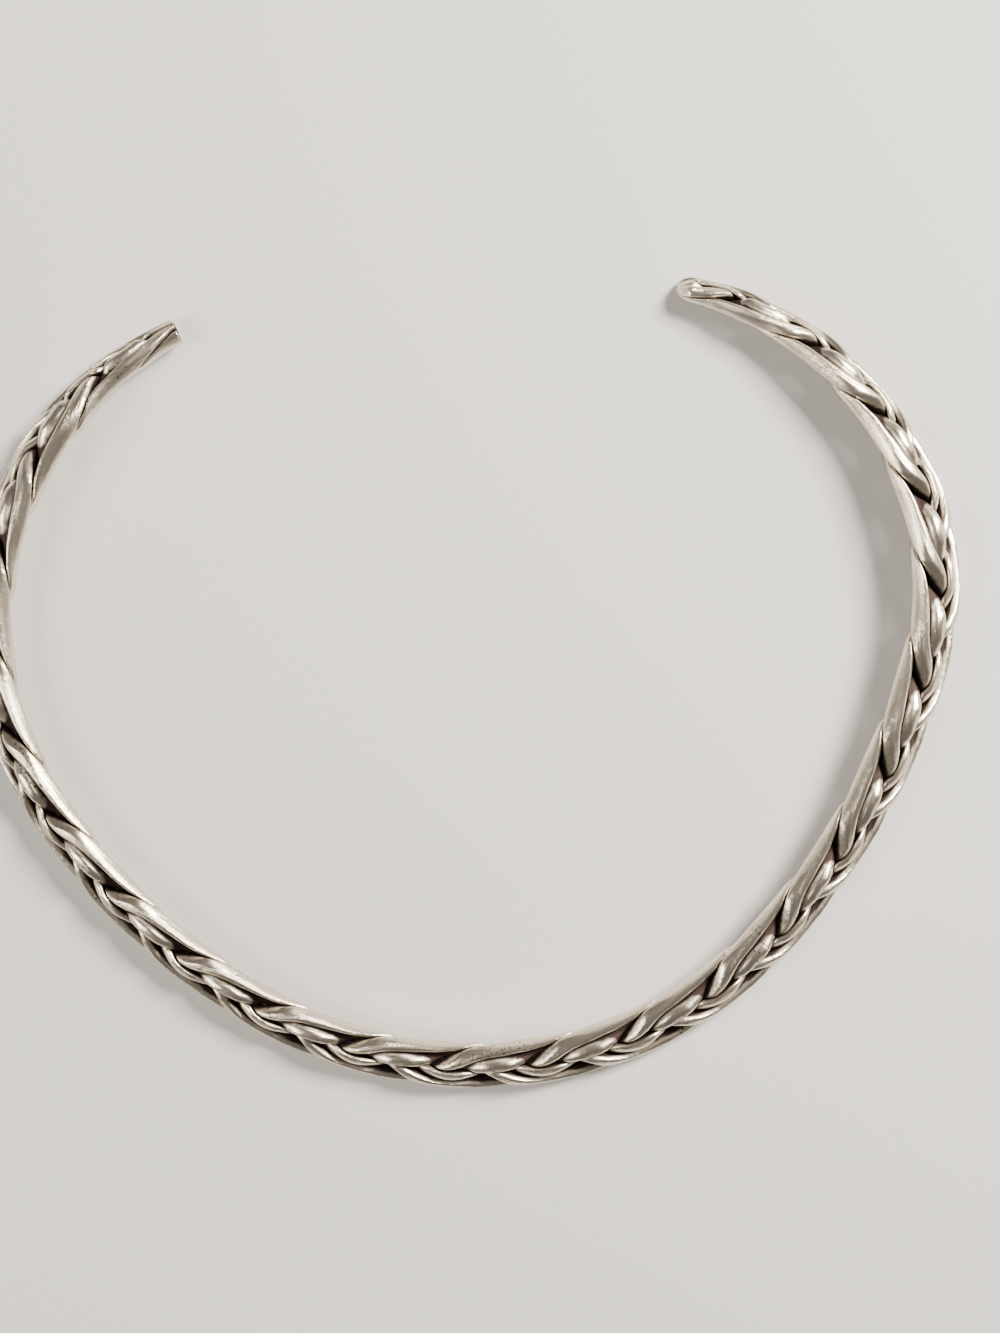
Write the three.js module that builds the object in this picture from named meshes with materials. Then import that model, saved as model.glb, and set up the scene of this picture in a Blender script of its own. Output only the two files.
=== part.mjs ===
// A plaited silver torc: three strands in a flat plait, each strand two flat
// wires side by side, hammered together and cut off at the two open ends.
// The ring lies flat with its open side at the back (+Y). Millimetres, +Z up.
import * as THREE from "three";

// The wires
const WIRE_WIDTH = 2.7;
const WIRE_THICKNESS = 2.1;
const WIRE_GAP = 0.34;
const WIRE_EDGE_POWER = 4;

// The plait
const PLAIT_WIDTH = 7.6;
const PLAIT_THICKNESS = 4.4;
const PLAIT_EDGE_POWER = 2.6;
const NOTCH_PITCH = 13.7;
const STRANDS = 3;
const STRAND_SWING = 2.5;
const STRAND_LIFT = 1.25;
const EDGE_DWELL = 0.16;
const PAIR_OFFSET = 0.9;
const PAIR_LEAD = 0.32;
const FIRST_NOTCH = 2.5;

// A notch of the inner edge lies a quarter turn on from where a strand is mid-plait
const NOTCH_TURN = 0.25;

// The bent ring, from the right-hand end round the front to the left-hand end:
// the radius of each bend, to the plait's middle line
const RIGHT_END_BEND = 46.5;
const RIGHT_SHOULDER_BEND = 40.2;
const RIGHT_SIDE_BEND = 96.5;
const RIGHT_FRONT_BEND = 57.2;
const LEFT_FRONT_BEND = 62.1;
const LEFT_SIDE_BEND = 90.9;
const LEFT_END_BEND = 47.5;

// How far round each bend turns
const BENDS = [
  { radius: RIGHT_END_BEND, degrees: 57.9 },
  { radius: RIGHT_SHOULDER_BEND, degrees: 36.2 },
  { radius: RIGHT_SIDE_BEND, degrees: 27.8 },
  { radius: RIGHT_FRONT_BEND, degrees: 39.4 },
  { radius: LEFT_FRONT_BEND, degrees: 37.3 },
  { radius: LEFT_SIDE_BEND, degrees: 27.5 },
  { radius: LEFT_END_BEND, degrees: 96.6 },
];
const START_HEADING = -11.1;

// The plait's form along the ring: at a share of its length, the width and the
// thickness as shares of the full plait, and how far its face leans outwards
const FORM = [
  { at: 0, width: 0.34, thickness: 0.36, lean: 48 },
  { at: 0.007, width: 0.48, thickness: 0.56, lean: 50 },
  { at: 0.035, width: 0.66, thickness: 0.78, lean: 52 },
  { at: 0.09, width: 1, thickness: 1, lean: 52 },
  { at: 0.17, width: 1.18, thickness: 1.14, lean: 46 },
  { at: 0.25, width: 1.16, thickness: 1.08, lean: 44 },
  { at: 0.34, width: 1.04, thickness: 1.02, lean: 40 },
  { at: 0.43, width: 0.98, thickness: 1, lean: 33 },
  { at: 0.56, width: 0.9, thickness: 0.98, lean: 28 },
  { at: 0.7, width: 0.93, thickness: 0.98, lean: 38 },
  { at: 0.8, width: 1, thickness: 1, lean: 45 },
  { at: 0.93, width: 1.13, thickness: 1.1, lean: 52 },
  { at: 0.968, width: 0.74, thickness: 0.92, lean: 50 },
  { at: 1, width: 0.56, thickness: 0.7, lean: 46 },
];

// The underside's high spots are hammered flat by this much, where it rests
const REST_FLAT = 0.35;

// Facets
const SIDES = 4;
const STATION_STEP = NOTCH_PITCH / 8;

// Wires that cross keep their gap also this far before and after each section
const CLEAR_RUN = 0.6;

const silver = new THREE.MeshStandardMaterial({ color: 0xb9aea2, roughness: 0.32, metalness: 1 });

const radians = THREE.MathUtils.degToRad;

function ringLength() {
  let length = 0;
  for (const bend of BENDS) length += bend.radius * radians(bend.degrees);
  return length;
}

// The middle line at a distance along it: its place and its heading
function middleLine(distance) {
  let heading = radians(START_HEADING);
  let x = 0;
  let y = 0;
  let left = distance;
  for (const [index, bend] of BENDS.entries()) {
    const last = index === BENDS.length - 1;
    const whole = bend.radius * radians(bend.degrees);
    const run = last ? left : Math.min(left, whole);
    const next = heading - run / bend.radius;
    x += bend.radius * (Math.sin(heading) - Math.sin(next));
    y += bend.radius * (Math.cos(next) - Math.cos(heading));
    heading = next;
    left -= run;
    if (left <= 0) break;
  }
  return { x, y, heading };
}

// The form at a share of the length, eased between the rows of FORM
function formAt(share) {
  let row = 1;
  while (row < FORM.length - 1 && share > FORM[row].at) row += 1;
  const before = FORM[row - 1];
  const after = FORM[row];
  const t = THREE.MathUtils.smoothstep(share, before.at, after.at);
  return {
    width: THREE.MathUtils.lerp(before.width, after.width, t),
    thickness: THREE.MathUtils.lerp(before.thickness, after.thickness, t),
    lean: radians(THREE.MathUtils.lerp(before.lean, after.lean, t)),
  };
}

// Where a wire's centre passes through the plait's section: across and up
function wireCentre(strand, side, distance) {
  const turns = (distance - FIRST_NOTCH) / (STRANDS * NOTCH_PITCH);
  const phase = 2 * Math.PI * (turns + NOTCH_TURN + strand / STRANDS);
  const lead = side * PAIR_LEAD * Math.cos(phase);
  const swing = Math.sin(phase) + EDGE_DWELL * Math.sin(3 * phase);
  return {
    across: STRAND_SWING * swing + side * PAIR_OFFSET,
    up: -STRAND_LIFT * Math.sin(2 * (phase + lead)),
  };
}

// Whether a point of the section is inside the planished outline of the plait
function insidePlait(across, up) {
  const a = Math.abs(across) / (PLAIT_WIDTH / 2);
  const b = Math.abs(up) / (PLAIT_THICKNESS / 2);
  return a ** PLAIT_EDGE_POWER + b ** PLAIT_EDGE_POWER < 1;
}

// Half the height of the plait's outline as it leans
function leaningHalfHeight(form) {
  const power = PLAIT_EDGE_POWER / (PLAIT_EDGE_POWER - 1);
  const edge = (PLAIT_WIDTH / 2) * form.width * Math.sin(form.lean);
  const face = (PLAIT_THICKNESS / 2) * form.thickness * Math.cos(form.lean);
  return (edge ** power + face ** power) ** (1 / power);
}

// How far a wire reaches from its centre in one direction: to its own rounded
// edge, to half a gap short of each neighbour, or to the plait's outline
function reach(centre, others, across, up) {
  const halfWidth = WIRE_WIDTH / 2;
  const halfThickness = WIRE_THICKNESS / 2;
  const own = (Math.abs(across) / halfWidth) ** WIRE_EDGE_POWER
    + (Math.abs(up) / halfThickness) ** WIRE_EDGE_POWER;
  let far = own ** (-1 / WIRE_EDGE_POWER);
  for (const other of others) {
    const apartAcross = other.across - centre.across;
    const apartUp = other.up - centre.up;
    const facing = new THREE.Vector2(apartAcross / halfWidth ** 2, apartUp / halfThickness ** 2);
    facing.normalize();
    const room = (facing.x * apartAcross + facing.y * apartUp - WIRE_GAP) / 2;
    const towards = facing.x * across + facing.y * up;
    if (towards > 0) far = Math.min(far, room / towards);
  }
  let near = 0;
  const limit = far;
  if (!insidePlait(centre.across + far * across, centre.up + far * up)) {
    for (let halving = 0; halving < 30; halving += 1) {
      const middle = (near + far) / 2;
      if (insidePlait(centre.across + middle * across, centre.up + middle * up)) near = middle;
      else far = middle;
    }
  }
  return Math.min(limit, far);
}

// How far a wire reaches in one direction and still clears the others nearby
function clearReach(wire, wires, distance, across, up) {
  let far = Infinity;
  for (const shift of [-CLEAR_RUN, 0, CLEAR_RUN]) {
    const centre = wireCentre(wire.strand, wire.side, distance + shift);
    const others = [];
    for (const other of wires) {
      if (other !== wire) others.push(wireCentre(other.strand, other.side, distance + shift));
    }
    far = Math.min(far, reach(centre, others, across, up));
  }
  return far;
}

// One wire's section at a distance along the ring, as points in the ring's frame
function wireSection(wire, wires, distance, length) {
  const { x, y, heading } = middleLine(distance);
  const form = formAt(distance / length);
  const centre = wireCentre(wire.strand, wire.side, distance);
  const halfHeight = leaningHalfHeight(form);
  const points = [];
  for (let side = 0; side < SIDES; side += 1) {
    const angle = (2 * Math.PI * (side + 0.5)) / SIDES;
    const across = (WIRE_WIDTH / 2) * Math.cos(angle);
    const up = (WIRE_THICKNESS / 2) * Math.sin(angle);
    const far = clearReach(wire, wires, distance, across, up);
    const u = (centre.across + far * across) * form.width;
    const w = (centre.up + far * up) * form.thickness;
    const outwards = u * Math.cos(form.lean) + w * Math.sin(form.lean);
    const height = w * Math.cos(form.lean) - u * Math.sin(form.lean) + halfHeight - REST_FLAT;
    points.push(new THREE.Vector3(
      x - outwards * Math.sin(heading),
      y + outwards * Math.cos(heading),
      Math.max(height, 0),
    ));
  }
  return points;
}

// A closed solid through a row of sections, with flat cut ends
function loft(sections) {
  const vertices = [];
  for (const section of sections) {
    for (const point of section) vertices.push(point.x, point.y, point.z);
  }
  const faces = [];
  const count = sections[0].length;
  for (let row = 0; row + 1 < sections.length; row += 1) {
    for (let side = 0; side < count; side += 1) {
      const a = row * count + side;
      const b = row * count + ((side + 1) % count);
      faces.push(a, b, a + count, b, b + count, a + count);
    }
  }
  const end = (sections.length - 1) * count;
  for (let side = 1; side + 1 < count; side += 1) {
    faces.push(0, side + 1, side, end, end + side, end + side + 1);
  }
  const geometry = new THREE.BufferGeometry();
  geometry.setAttribute("position", new THREE.Float32BufferAttribute(vertices, 3));
  geometry.setIndex(faces);
  return geometry;
}

const wires = [];
const strandNames = ["first", "second", "third"];
for (const [strand, name] of strandNames.entries()) {
  wires.push({ name: `${name}_strand_inner_wire`, strand, side: -1 });
  wires.push({ name: `${name}_strand_outer_wire`, strand, side: 1 });
}

const torc = new THREE.Group();
const length = ringLength();
const stations = Math.ceil(length / STATION_STEP);
for (const wire of wires) {
  const sections = [];
  for (let station = 0; station <= stations; station += 1) {
    sections.push(wireSection(wire, wires, (length * station) / stations, length));
  }
  const mesh = new THREE.Mesh(loft(sections), silver.clone());
  mesh.name = wire.name;
  torc.add(mesh);
}

// The origin is the middle of the underside
const box = new THREE.Box3().setFromObject(torc);
const middle = box.getCenter(new THREE.Vector3());
torc.position.set(-middle.x, -middle.y, -box.min.z);
torc.updateMatrixWorld(true);

export default torc;
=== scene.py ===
# A plaited silver torc lying on a pale table, seen from straight above.
import math

import bmesh
import bpy
import numpy as np
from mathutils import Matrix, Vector


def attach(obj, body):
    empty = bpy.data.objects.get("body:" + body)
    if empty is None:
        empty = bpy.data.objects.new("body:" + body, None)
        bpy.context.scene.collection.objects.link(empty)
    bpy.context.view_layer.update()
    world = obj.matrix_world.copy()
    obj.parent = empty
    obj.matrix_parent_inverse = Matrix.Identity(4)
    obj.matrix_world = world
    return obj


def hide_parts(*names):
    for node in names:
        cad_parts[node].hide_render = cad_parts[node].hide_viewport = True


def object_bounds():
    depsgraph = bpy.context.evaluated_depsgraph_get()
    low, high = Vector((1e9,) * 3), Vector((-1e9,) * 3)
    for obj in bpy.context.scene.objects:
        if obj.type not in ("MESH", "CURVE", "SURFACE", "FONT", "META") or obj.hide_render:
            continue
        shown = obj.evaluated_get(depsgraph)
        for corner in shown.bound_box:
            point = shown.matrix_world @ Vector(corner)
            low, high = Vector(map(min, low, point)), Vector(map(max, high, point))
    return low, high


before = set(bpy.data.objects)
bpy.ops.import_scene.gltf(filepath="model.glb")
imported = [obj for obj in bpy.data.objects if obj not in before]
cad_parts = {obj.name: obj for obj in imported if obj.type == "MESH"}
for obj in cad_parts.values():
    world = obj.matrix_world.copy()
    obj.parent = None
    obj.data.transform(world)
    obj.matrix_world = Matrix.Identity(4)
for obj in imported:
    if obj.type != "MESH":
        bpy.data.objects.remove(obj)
solid_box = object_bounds()

# The plaited wires: six flat bars drawn and hammered from silver, worked in
# three pairs as a flat plait, then bent into the ring and hammered all over,
# so that their outer faces are flat and their crossings fit each other.
WIRE_WIDTH = 2.6
WIRE_THICKNESS = 2.75
WIRE_EDGE_POWER = 3.6
GAP_SHARE = 0.08
PAIR_GROOVE_SHARE = 0.5
PRESSED_END = 26.0
PRESS_POWER = 1.5
END_SPREAD = 1.2
ROUND_END = 1.3
TIP_ROUND_SHARE = 0.9
PLAIT_WIDTH = 7.6
PLAIT_THICKNESS = 4.4
PLAIT_EDGE_POWER = 2.6
NOTCH_PITCH = 13.7
STRANDS = 3
STRAND_SWING = 2.5
STRAND_LIFT = 0.95
EDGE_DWELL = 0.16
PAIR_OFFSET = 0.9
PAIR_LEAD = 0.32
FIRST_NOTCH = 2.5
NOTCH_TURN = 0.25

# The bent ring from its right-hand end to its left: each bend's radius and degrees
BENDS = [
    (46.5, 57.9), (40.2, 36.2), (96.5, 27.8), (57.2, 39.4),
    (62.1, 37.3), (90.9, 27.5), (47.5, 96.6),
]
START_HEADING = -11.1

# The plait's form at shares of the ring's length, and the lean of its face in degrees
FORM_AT = [0, 0.007, 0.035, 0.09, 0.17, 0.25, 0.34, 0.43, 0.56, 0.7, 0.8, 0.93, 0.968, 1]
FORM_WIDTH = [0.46, 0.62, 0.76, 1.0, 1.18, 1.16, 1.04, 0.98, 0.9, 0.93, 1.0, 1.13, 0.74, 0.56]
FORM_THICKNESS = [0.48, 0.66, 0.84, 1.0, 1.14, 1.08, 1.02, 1.0, 0.98, 0.98, 1.0, 1.1, 0.92, 0.7]
FORM_LEAN = [48, 50, 52, 52, 46, 44, 40, 33, 28, 38, 45, 52, 50, 46]
REST_FLAT = 0.35

# The hammer's facets: their lengths along a wire, and how far each lies off the even size
HAMMER_SEED = 20
BLOW_JITTER = 0.35
WIDTH_BLOW_LENGTH = 4.5
THICKNESS_BLOW_LENGTH = 3.6
WIRE_BLOW_DEPTH = 0.05
FACE_BLOW_LENGTH = 5.2
FACE_BLOW_SHARE = 0.02

# The mesh
MILLIMETRE = 0.001
STATIONS = 1400
RAYS = 48
MARCH = 24
EDGE_SOFTNESS = 9
SMOOTHING_PASSES = 2
UNHINDERED = 3.0
HULL_SIDES = 40
DEEPEST = 9.0
WIRE_GIRTH = 7.0


def ring_length():
    return sum(radius * math.radians(turn) for radius, turn in BENDS)


def middle_line(distances):
    """The ring's middle line: its points and headings at distances from the right end."""
    places = np.zeros((len(distances), 2))
    headings = np.full(len(distances), math.radians(START_HEADING))
    left = distances.copy()
    for index, (radius, turn) in enumerate(BENDS):
        whole = radius * math.radians(turn)
        run = left if index == len(BENDS) - 1 else np.clip(left, 0, whole)
        after = headings - run / radius
        places[:, 0] += radius * (np.sin(headings) - np.sin(after))
        places[:, 1] += radius * (np.cos(after) - np.cos(headings))
        headings = after
        left = left - run
    return places, headings


def eased(share, values):
    """A form value at each share of the length, eased between its rows."""
    row = np.clip(np.searchsorted(FORM_AT, share, side="left"), 1, len(FORM_AT) - 1)
    starts = np.array(FORM_AT)
    t = (share - starts[row - 1]) / (starts[row] - starts[row - 1])
    t = t * t * (3 - 2 * t)
    values = np.array(values, dtype=float)
    return values[row - 1] * (1 - t) + values[row] * t


def wire_centre(strand, side, distances):
    """Where a wire's centre passes through each section: across and up."""
    turns = (distances - FIRST_NOTCH) / (STRANDS * NOTCH_PITCH)
    phase = 2 * np.pi * (turns + NOTCH_TURN + strand / STRANDS)
    lead = side * PAIR_LEAD * np.cos(phase)
    across = STRAND_SWING * (np.sin(phase) + EDGE_DWELL * np.sin(3 * phase)) + side * PAIR_OFFSET
    up = -STRAND_LIFT * np.sin(2 * (phase + lead))
    return np.stack([across, up], axis=1)


def hammer_blows(random, distances, spacing, depth):
    """Flat facets left along a wire by the hammer: straight runs between random heights."""
    knots = np.arange(-spacing, distances[-1] + 3 * spacing, spacing)
    knots = knots + random.uniform(-BLOW_JITTER, BLOW_JITTER, len(knots)) * spacing
    return np.interp(distances, knots, random.uniform(-depth, depth, len(knots)))


def outline_level(across, up):
    """How far out a point of the section lies: 1 on the plait's hammered outline."""
    a = np.abs(across) / (PLAIT_WIDTH / 2)
    b = np.abs(up) / (PLAIT_THICKNESS / 2)
    return (a ** PLAIT_EDGE_POWER + b ** PLAIT_EDGE_POWER) ** (1 / PLAIT_EDGE_POWER)


def leaning_half_height(width, thickness, lean):
    """Half the height of the plait's outline as it leans."""
    power = PLAIT_EDGE_POWER / (PLAIT_EDGE_POWER - 1)
    edge = PLAIT_WIDTH / 2 * width * np.sin(lean)
    face = PLAIT_THICKNESS / 2 * thickness * np.cos(lean)
    return (edge ** power + face ** power) ** (1 / power)


def bar_level(bar, across, up):
    """How far out a point lies in a wire's own rounded bar: 1 on its surface."""
    centre, roll, half_width, half_thickness = bar
    x = across - centre[:, 0, None]
    y = up - centre[:, 1, None]
    flat = np.abs(x * np.cos(roll)[:, None] + y * np.sin(roll)[:, None]) / half_width[:, None]
    tall = np.abs(y * np.cos(roll)[:, None] - x * np.sin(roll)[:, None]) / half_thickness[:, None]
    return (flat ** WIRE_EDGE_POWER + tall ** WIRE_EDGE_POWER) ** (1 / WIRE_EDGE_POWER)


def free_reach(clear):
    """How far along each ray the clearance first runs out, or UNHINDERED where it never does."""
    steps = np.linspace(1 / MARCH, 1, MARCH)
    values = np.stack([clear(step) for step in steps])
    crossed = values < 0
    first = np.argmax(crossed, axis=0)
    inside = np.take_along_axis(values, first[None], axis=0)[0]
    before = np.take_along_axis(values, np.maximum(first - 1, 0)[None], axis=0)[0]
    back = np.where(first > 0, inside / np.minimum(inside - before, -1e-6), 0)
    found = (first + 1 - back) / MARCH
    return np.where(crossed.any(axis=0), found, UNHINDERED)


def end_press(distances):
    """How far the wires are hammered into one at each place: 1 at the two ends."""
    from_end = np.minimum(distances, distances[-1] - distances)
    return np.clip(1 - from_end / PRESSED_END, 0, 1) ** PRESS_POWER


def bar_of(strand, side, distances, random):
    """A wire before it is pressed against the others: centre, roll and half sizes."""
    centre = wire_centre(strand, side, distances)
    partner = wire_centre(strand, -side, distances)
    roll = np.arctan2((partner - centre)[:, 1] * -side, (partner - centre)[:, 0] * -side)
    half_width = WIRE_WIDTH / 2 + hammer_blows(random, distances, WIDTH_BLOW_LENGTH, WIRE_BLOW_DEPTH)
    half_thickness = WIRE_THICKNESS / 2
    half_thickness = half_thickness + hammer_blows(random, distances, THICKNESS_BLOW_LENGTH, WIRE_BLOW_DEPTH)
    spread = 1 + END_SPREAD * end_press(distances)
    return centre, roll, half_width * spread, half_thickness * spread


def pressed_section(bars, index, distances, random):
    """A wire's outline in every section, with room left for the others and a hammered outside."""
    centre, roll, half_width, half_thickness = bars[index]
    angles = 2 * np.pi * np.arange(RAYS) / RAYS
    rounding = 2 / WIRE_EDGE_POWER
    flat = np.sign(np.cos(angles)) * np.abs(np.cos(angles)) ** rounding * half_width[:, None]
    tall = np.sign(np.sin(angles)) * np.abs(np.sin(angles)) ** rounding * half_thickness[:, None]
    ray_across = flat * np.cos(roll)[:, None] - tall * np.sin(roll)[:, None]
    ray_up = flat * np.sin(roll)[:, None] + tall * np.cos(roll)[:, None]

    def at(step):
        return centre[:, :1] + step * ray_across, centre[:, 1:] + step * ray_up

    limits = [np.ones((STATIONS, RAYS))]
    for other, bar in enumerate(bars):
        if other != index:
            paired = other // 2 == index // 2
            groove = PAIR_GROOVE_SHARE * np.abs(np.sin(angles)) if paired else 0
            gap = GAP_SHARE + groove * (1 - end_press(distances))[:, None]
            limits.append(free_reach(lambda step: bar_level(bar, *at(step)) - step - gap))
    planish = 1 + hammer_blows(random, distances, FACE_BLOW_LENGTH, FACE_BLOW_SHARE)[:, None]
    limits.append(free_reach(lambda step: planish - outline_level(*at(step))))
    reach = sum(limit ** -EDGE_SOFTNESS for limit in limits) ** (-1 / EDGE_SOFTNESS)
    for _ in range(SMOOTHING_PASSES):
        reach[1:-1] = (reach[:-2] + 2 * reach[1:-1] + reach[2:]) / 4
        reach = (np.roll(reach, 1, axis=1) + 6 * reach + np.roll(reach, -1, axis=1)) / 8
    return at(reach)


def depth_in_plait(sections):
    """How deep each point lies under a sheet stretched round all the wires, in millimetres."""
    across = np.concatenate([section[0] for section in sections], axis=1)
    up = np.concatenate([section[1] for section in sections], axis=1)
    depth = np.full(across.shape, DEEPEST)
    for angle in np.linspace(0, 2 * np.pi, HULL_SIDES, endpoint=False):
        out = across * np.cos(angle) + up * np.sin(angle)
        depth = np.minimum(depth, out.max(axis=1)[:, None] - out)
    return np.split(depth, len(sections), axis=1)


def placed_in_ring(section, distances):
    """A wire's sections leaned, scaled to the plait's form there and set along the ring."""
    share = distances / distances[-1]
    places, headings = middle_line(distances)
    width = eased(share, FORM_WIDTH)
    thickness = eased(share, FORM_THICKNESS)
    lean = np.radians(eased(share, FORM_LEAN))
    half_height = leaning_half_height(width, thickness, lean)
    before_tip = 1 - np.clip(distances / ROUND_END, 0, 1)
    rounded = np.sqrt(1 - TIP_ROUND_SHARE * before_tip ** 2)
    across = section[0] * (width * rounded)[:, None]
    up = section[1] * (thickness * rounded)[:, None]
    outwards = across * np.cos(lean)[:, None] + up * np.sin(lean)[:, None]
    lift = (half_height - REST_FLAT)[:, None]
    height = up * np.cos(lean)[:, None] - across * np.sin(lean)[:, None] + lift
    points = np.zeros((STATIONS, RAYS, 3))
    points[:, :, 0] = places[:, :1] - outwards * np.sin(headings)[:, None]
    points[:, :, 1] = places[:, 1:] + outwards * np.cos(headings)[:, None]
    points[:, :, 2] = np.maximum(height, 0)
    return points


def wire_object(name, points, depth, distances):
    """A closed mesh through the sections, with its depth in the plait and its own unrolled map."""
    stations, rays = depth.shape
    vertices = points.reshape(-1, 3)
    row = np.arange(stations - 1)[:, None] * rays
    side = np.arange(rays)[None, :]
    a = (row + side).ravel()
    b = (row + (side + 1) % rays).ravel()
    faces = np.stack([a, b, b + rays, a + rays], axis=1).tolist()
    faces.append(list(range(rays - 1, -1, -1)))
    faces.append(list(range((stations - 1) * rays, stations * rays)))
    mesh = bpy.data.meshes.new(name)
    mesh.from_pydata(vertices.tolist(), [], faces)
    mesh.update()
    recess = mesh.attributes.new("recess", "FLOAT", "POINT")
    recess.data.foreach_set("value", depth.ravel())
    along = np.repeat(distances, rays)
    girth = np.tile(np.arange(rays) / rays * WIRE_GIRTH, stations)
    unrolled = mesh.attributes.new("unrolled", "FLOAT_VECTOR", "POINT")
    flat_map = np.stack([along, girth, np.zeros_like(along)], axis=1)
    unrolled.data.foreach_set("vector", flat_map.ravel())
    mesh.polygons.foreach_set("use_smooth", [True] * (len(faces) - 2) + [False, False])
    wire = bpy.data.objects.new(name, mesh)
    bpy.context.scene.collection.objects.link(wire)
    return wire


# The finish: scales are repeats for each metre, and in a scratch for each millimetre
SILVER = (0.80, 0.705, 0.58, 1)
# The brown-black colour is partly the silver's real tarnish in its hollows and partly painted shade,
# darkening the wires where they lie deep between the others.
TARNISH_AND_PAINTED_SHADE = (0.05, 0.034, 0.03, 1)
SILVER_ROUGHNESS = 0.27
TARNISH_ROUGHNESS = 0.6
# Depths in millimetres where the painted shade and tarnish begin and where they are full.
SHADE_AND_TARNISH_FROM_DEPTH = 0.26
SHADE_AND_TARNISH_FULL_DEPTH = 0.85
BLOTCH_SCALE = 420
BLOTCH_DETAIL = 6
BLOTCH_DEPTH = 0.15
PIT_SCALE = 1500
PITTED_PATCH_SCALE = 75
PITTED_PATCH_FROM = 0.45
PITTED_PATCH_FULL = 0.65
LARGEST_PIT = 0.27
PIT_STAIN = 0.7
SCRATCH_STRETCH = (0.5, 5.0, 1.0)
SCRATCH_SCALE = 2.4
SCRATCH_DETAIL = 5
SCRATCH_DEPTH = 0.08 * MILLIMETRE
DENT_SCALE = 900
DENT_DETAIL = 3
DENT_DEPTH = 0.12 * MILLIMETRE
MARK_STRENGTH = 0.5


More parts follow.
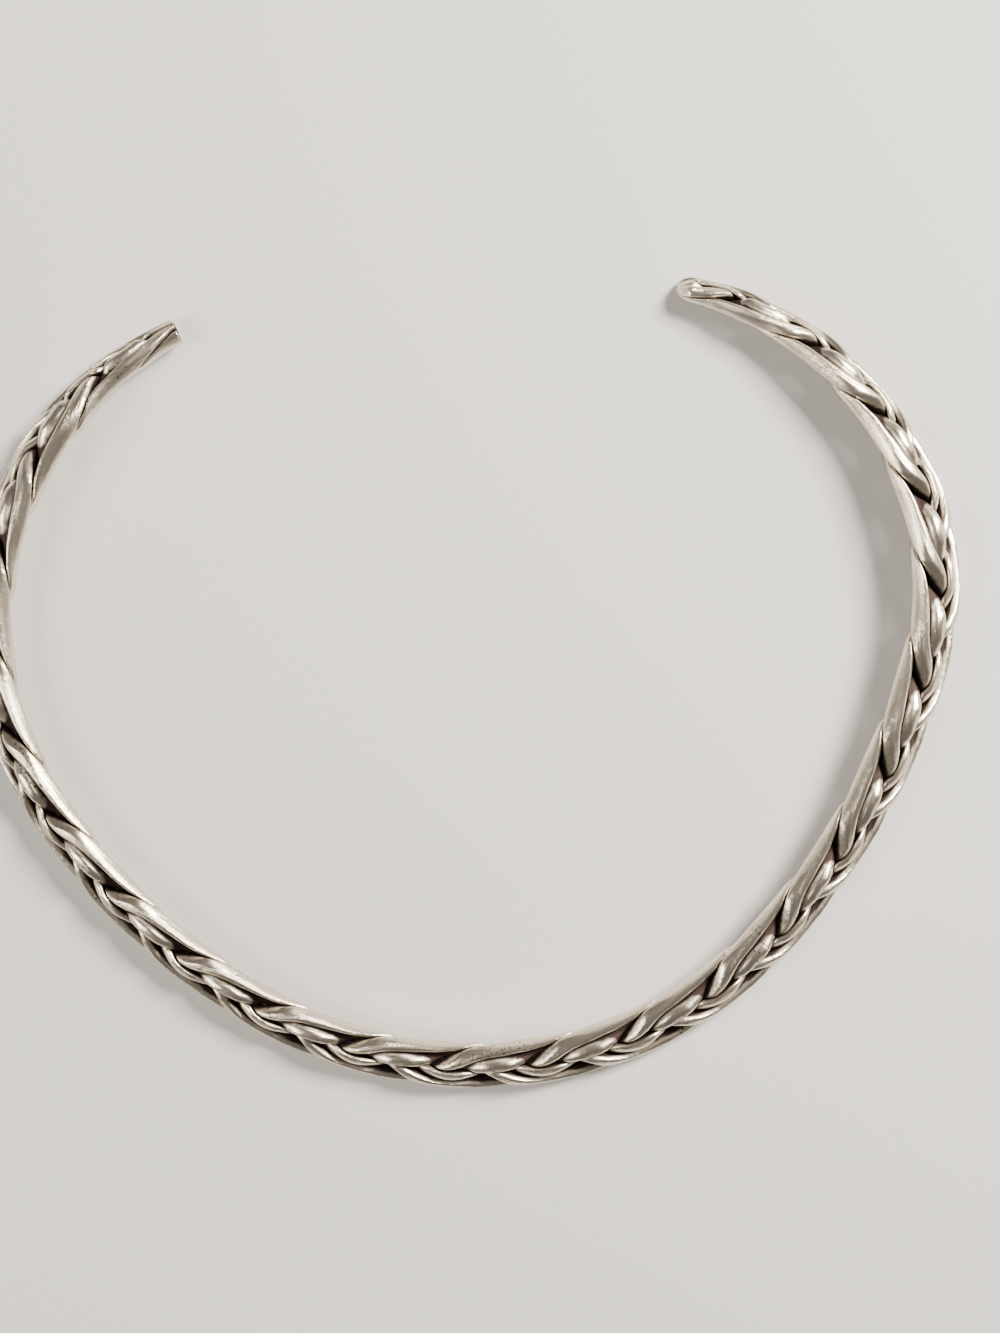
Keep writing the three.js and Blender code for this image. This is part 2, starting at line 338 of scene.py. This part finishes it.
def silver_finish():
    """Hammered silver: bright on the high faces, brown-black down between the wires, partly real tarnish and
    partly painted shade.
    """
    finish = bpy.data.materials.new("hammered_silver")
    finish.use_nodes = True
    nodes = finish.node_tree.nodes
    links = finish.node_tree.links
    surface = nodes["Principled BSDF"]
    surface.inputs["Metallic"].default_value = 1.0

    recess = nodes.new("ShaderNodeAttribute")
    recess.attribute_name = "recess"
    place = nodes.new("ShaderNodeTexCoord")
    blotch = nodes.new("ShaderNodeTexNoise")
    blotch.inputs["Scale"].default_value = BLOTCH_SCALE
    blotch.inputs["Detail"].default_value = BLOTCH_DETAIL
    links.new(place.outputs["Object"], blotch.inputs["Vector"])
    spread = nodes.new("ShaderNodeMath")
    spread.operation = "MULTIPLY_ADD"
    spread.inputs[1].default_value = BLOTCH_DEPTH
    links.new(blotch.outputs["Fac"], spread.inputs[0])
    links.new(recess.outputs["Fac"], spread.inputs[2])
    # Painted shade and tarnish: the colour turns brown-black with depth under the sheet round the plait.
    tarnish_and_shade = nodes.new("ShaderNodeMapRange")
    tarnish_and_shade.interpolation_type = "SMOOTHSTEP"
    tarnish_and_shade.inputs["From Min"].default_value = SHADE_AND_TARNISH_FROM_DEPTH
    tarnish_and_shade.inputs["From Max"].default_value = SHADE_AND_TARNISH_FULL_DEPTH
    links.new(spread.outputs[0], tarnish_and_shade.inputs["Value"])
    colour = nodes.new("ShaderNodeMix")
    colour.data_type = "RGBA"
    colour.inputs["A"].default_value = SILVER
    colour.inputs["B"].default_value = TARNISH_AND_PAINTED_SHADE
    patch = nodes.new("ShaderNodeTexNoise")
    patch.inputs["Scale"].default_value = PITTED_PATCH_SCALE
    links.new(place.outputs["Object"], patch.inputs["Vector"])
    pitted = nodes.new("ShaderNodeMapRange")
    pitted.inputs["From Min"].default_value = PITTED_PATCH_FROM
    pitted.inputs["From Max"].default_value = PITTED_PATCH_FULL
    pitted.inputs["To Min"].default_value = 0.0
    pitted.inputs["To Max"].default_value = LARGEST_PIT
    links.new(patch.outputs["Fac"], pitted.inputs["Value"])
    pits = nodes.new("ShaderNodeTexVoronoi")
    pits.inputs["Scale"].default_value = PIT_SCALE
    links.new(place.outputs["Object"], pits.inputs["Vector"])
    pit = nodes.new("ShaderNodeMath")
    pit.operation = "LESS_THAN"
    links.new(pits.outputs["Distance"], pit.inputs[0])
    links.new(pitted.outputs["Result"], pit.inputs[1])
    # Dark pits in their patches, added on top of the painted shade and tarnish.
    pit_stain_and_shade = nodes.new("ShaderNodeMath")
    pit_stain_and_shade.operation = "MULTIPLY_ADD"
    pit_stain_and_shade.use_clamp = True
    pit_stain_and_shade.inputs[1].default_value = PIT_STAIN
    links.new(pit.outputs[0], pit_stain_and_shade.inputs[0])
    links.new(tarnish_and_shade.outputs["Result"], pit_stain_and_shade.inputs[2])
    links.new(pit_stain_and_shade.outputs[0], colour.inputs["Factor"])
    links.new(colour.outputs["Result"], surface.inputs["Base Color"])
    gloss = nodes.new("ShaderNodeMapRange")
    gloss.inputs["To Min"].default_value = SILVER_ROUGHNESS
    gloss.inputs["To Max"].default_value = TARNISH_ROUGHNESS
    links.new(tarnish_and_shade.outputs["Result"], gloss.inputs["Value"])
    links.new(gloss.outputs["Result"], surface.inputs["Roughness"])

    unrolled = nodes.new("ShaderNodeAttribute")
    unrolled.attribute_name = "unrolled"
    stretch = nodes.new("ShaderNodeMapping")
    stretch.inputs["Scale"].default_value = SCRATCH_STRETCH
    links.new(unrolled.outputs["Vector"], stretch.inputs["Vector"])
    scratches = nodes.new("ShaderNodeTexNoise")
    scratches.inputs["Scale"].default_value = SCRATCH_SCALE
    scratches.inputs["Detail"].default_value = SCRATCH_DETAIL
    links.new(stretch.outputs["Vector"], scratches.inputs["Vector"])
    dents = nodes.new("ShaderNodeTexNoise")
    dents.inputs["Scale"].default_value = DENT_SCALE
    dents.inputs["Detail"].default_value = DENT_DETAIL
    links.new(place.outputs["Object"], dents.inputs["Vector"])
    dented = nodes.new("ShaderNodeBump")
    dented.inputs["Strength"].default_value = MARK_STRENGTH
    dented.inputs["Distance"].default_value = DENT_DEPTH
    links.new(dents.outputs["Fac"], dented.inputs["Height"])
    scratched = nodes.new("ShaderNodeBump")
    scratched.inputs["Strength"].default_value = MARK_STRENGTH
    scratched.inputs["Distance"].default_value = SCRATCH_DEPTH
    links.new(scratches.outputs["Fac"], scratched.inputs["Height"])
    links.new(dented.outputs["Normal"], scratched.inputs["Normal"])
    links.new(scratched.outputs["Normal"], surface.inputs["Normal"])
    return finish


hammered_silver = silver_finish()
random = np.random.RandomState(HAMMER_SEED)
distances = np.linspace(0, ring_length(), STATIONS)
nodes = []
bars = []
for strand, strand_name in enumerate(("first", "second", "third")):
    for side, side_name in ((-1, "inner"), (1, "outer")):
        nodes.append(f"{strand_name}_strand_{side_name}_wire")
        bars.append(bar_of(strand, side, distances, random))
sections = [pressed_section(bars, index, distances, random) for index in range(len(bars))]
depths = depth_in_plait(sections)
rings = [placed_in_ring(section, distances) for section in sections]

every_point = np.concatenate([points.reshape(-1, 3) for points in rings])
lowest = every_point.min(axis=0)
highest = every_point.max(axis=0)
middle = (lowest + highest) / 2
solid_middle = [(low + high) / 2 for low, high in zip(solid_box[0], solid_box[1])]
for node, points, depth in zip(nodes, rings, depths):
    placed = (points - [middle[0], middle[1], lowest[2]]) * MILLIMETRE
    placed += [solid_middle[0], solid_middle[1], solid_box[0][2]]
    wire = wire_object(f"{node}_hammered", placed, depth, distances)
    wire.data.materials.append(hammered_silver)
    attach(wire, "root")
    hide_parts(node)

# The table: a plain pale sheet that the torc lies on, no part of it. It is
# one flat square, a hair below the torc's underside.
TABLE_SIZE = 3.0
TABLE_GAP = 0.02 * MILLIMETRE
TABLE_COLOUR = (0.74, 0.73, 0.72, 1)
TABLE_ROUGHNESS = 0.85
table_mesh = bpy.data.meshes.new("table")
table_bm = bmesh.new()
bmesh.ops.create_grid(table_bm, x_segments=1, y_segments=1, size=TABLE_SIZE / 2)
table_bm.to_mesh(table_mesh)
table_bm.free()
table = bpy.data.objects.new("table", table_mesh)
table.location.z = solid_box[0][2] - TABLE_GAP
bpy.context.scene.collection.objects.link(table)
table_finish = bpy.data.materials.new("pale_table")
table_finish.use_nodes = True
table_surface = table_finish.node_tree.nodes["Principled BSDF"]
table_surface.inputs["Base Color"].default_value = TABLE_COLOUR
table_surface.inputs["Roughness"].default_value = TABLE_ROUGHNESS
table.data.materials.append(table_finish)

# The studio light: one broad soft lamp from the right and behind, a weaker
# one from the left, and an even pale room.
LAMP_COLOUR = (1.0, 0.94, 0.84)
RIGHT_LAMP = {"place": (0.42, 0.30, 0.38), "size": 0.22, "watts": 13}
LEFT_LAMP = {"place": (-0.45, -0.1, 0.4), "size": 0.3, "watts": 3}
ROOM_COLOUR = (1.0, 0.95, 0.88, 1)
ROOM_STRENGTH = 0.16


def soft_lamp(name, place, size, watts):
    lamp = bpy.data.lights.new(name, "AREA")
    lamp.size = size
    lamp.energy = watts
    lamp.color = LAMP_COLOUR
    lamp_object = bpy.data.objects.new(name, lamp)
    lamp_object.location = place
    lamp_object.rotation_euler = (-Vector(place)).to_track_quat("-Z", "Y").to_euler()
    bpy.context.scene.collection.objects.link(lamp_object)


soft_lamp("right_lamp", **RIGHT_LAMP)
soft_lamp("left_lamp", **LEFT_LAMP)
room = bpy.data.worlds.new("room")
bpy.context.scene.world = room
room.use_nodes = True
room_light = room.node_tree.nodes["Background"]
room_light.inputs["Color"].default_value = ROOM_COLOUR
room_light.inputs["Strength"].default_value = ROOM_STRENGTH

# The camera: straight above the torc, close enough that the picture cuts off
# the ring's left side.
PICTURE_HEIGHT = 1333
PIXELS_PER_MILLIMETRE = 6.95
VIEW_CENTRE = (5.0, 2.2)
CAMERA_HEIGHT = 320
MEASURED_HEIGHT = 4
SENSOR = 36
NEAREST_SEEN = 0.01
camera = bpy.data.cameras.new("camera")
camera.sensor_width = SENSOR
camera.lens = SENSOR * (CAMERA_HEIGHT - MEASURED_HEIGHT) / (PICTURE_HEIGHT / PIXELS_PER_MILLIMETRE)
camera.clip_start = NEAREST_SEEN
camera_object = bpy.data.objects.new("camera", camera)
camera_object.location = Vector((*VIEW_CENTRE, CAMERA_HEIGHT)) * MILLIMETRE
bpy.context.scene.collection.objects.link(camera_object)
bpy.context.scene.camera = camera_object

bpy.context.view_layer.update()
